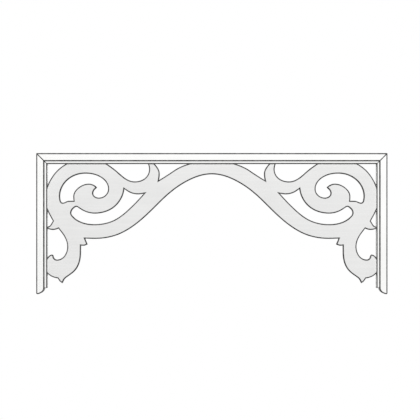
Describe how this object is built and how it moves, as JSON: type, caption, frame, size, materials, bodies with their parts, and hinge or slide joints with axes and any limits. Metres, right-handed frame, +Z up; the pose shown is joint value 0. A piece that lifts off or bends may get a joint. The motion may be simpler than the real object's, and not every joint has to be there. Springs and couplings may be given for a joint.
{
  "type": "fretwork panel",
  "caption": "Painted timber fretwork panel for a doorway or passage: a pierced arch board with scrolls, held by beads in a mitred three-sided frame.",
  "frame": {"origin": "middle of the head rail's top face, which is fixed up under the lintel", "axes": "+X to the right as seen from the front, along the width; +Y from front to back, through the thickness; +Z up, so the panel hangs below z = 0"},
  "size_m": [1.2, 0.042, 0.4824],
  "materials": {
    "white_paint": "satin white paint on softwood, with its arrises rubbed to a dark line",
    "pale_grey_paint": "satin pale grey paint on softwood, with its arrises rubbed to a dark line"
  },
  "bodies": {
    "root": {"head_rail": "white_paint", "left_stile": "white_paint", "right_stile": "white_paint", "front_head_bead": "white_paint", "front_left_bead": "white_paint", "front_right_bead": "white_paint", "back_head_bead": "white_paint", "back_left_bead": "white_paint", "back_right_bead": "white_paint", "fretwork_board": "pale_grey_paint"}
  },
  "joints": []
}
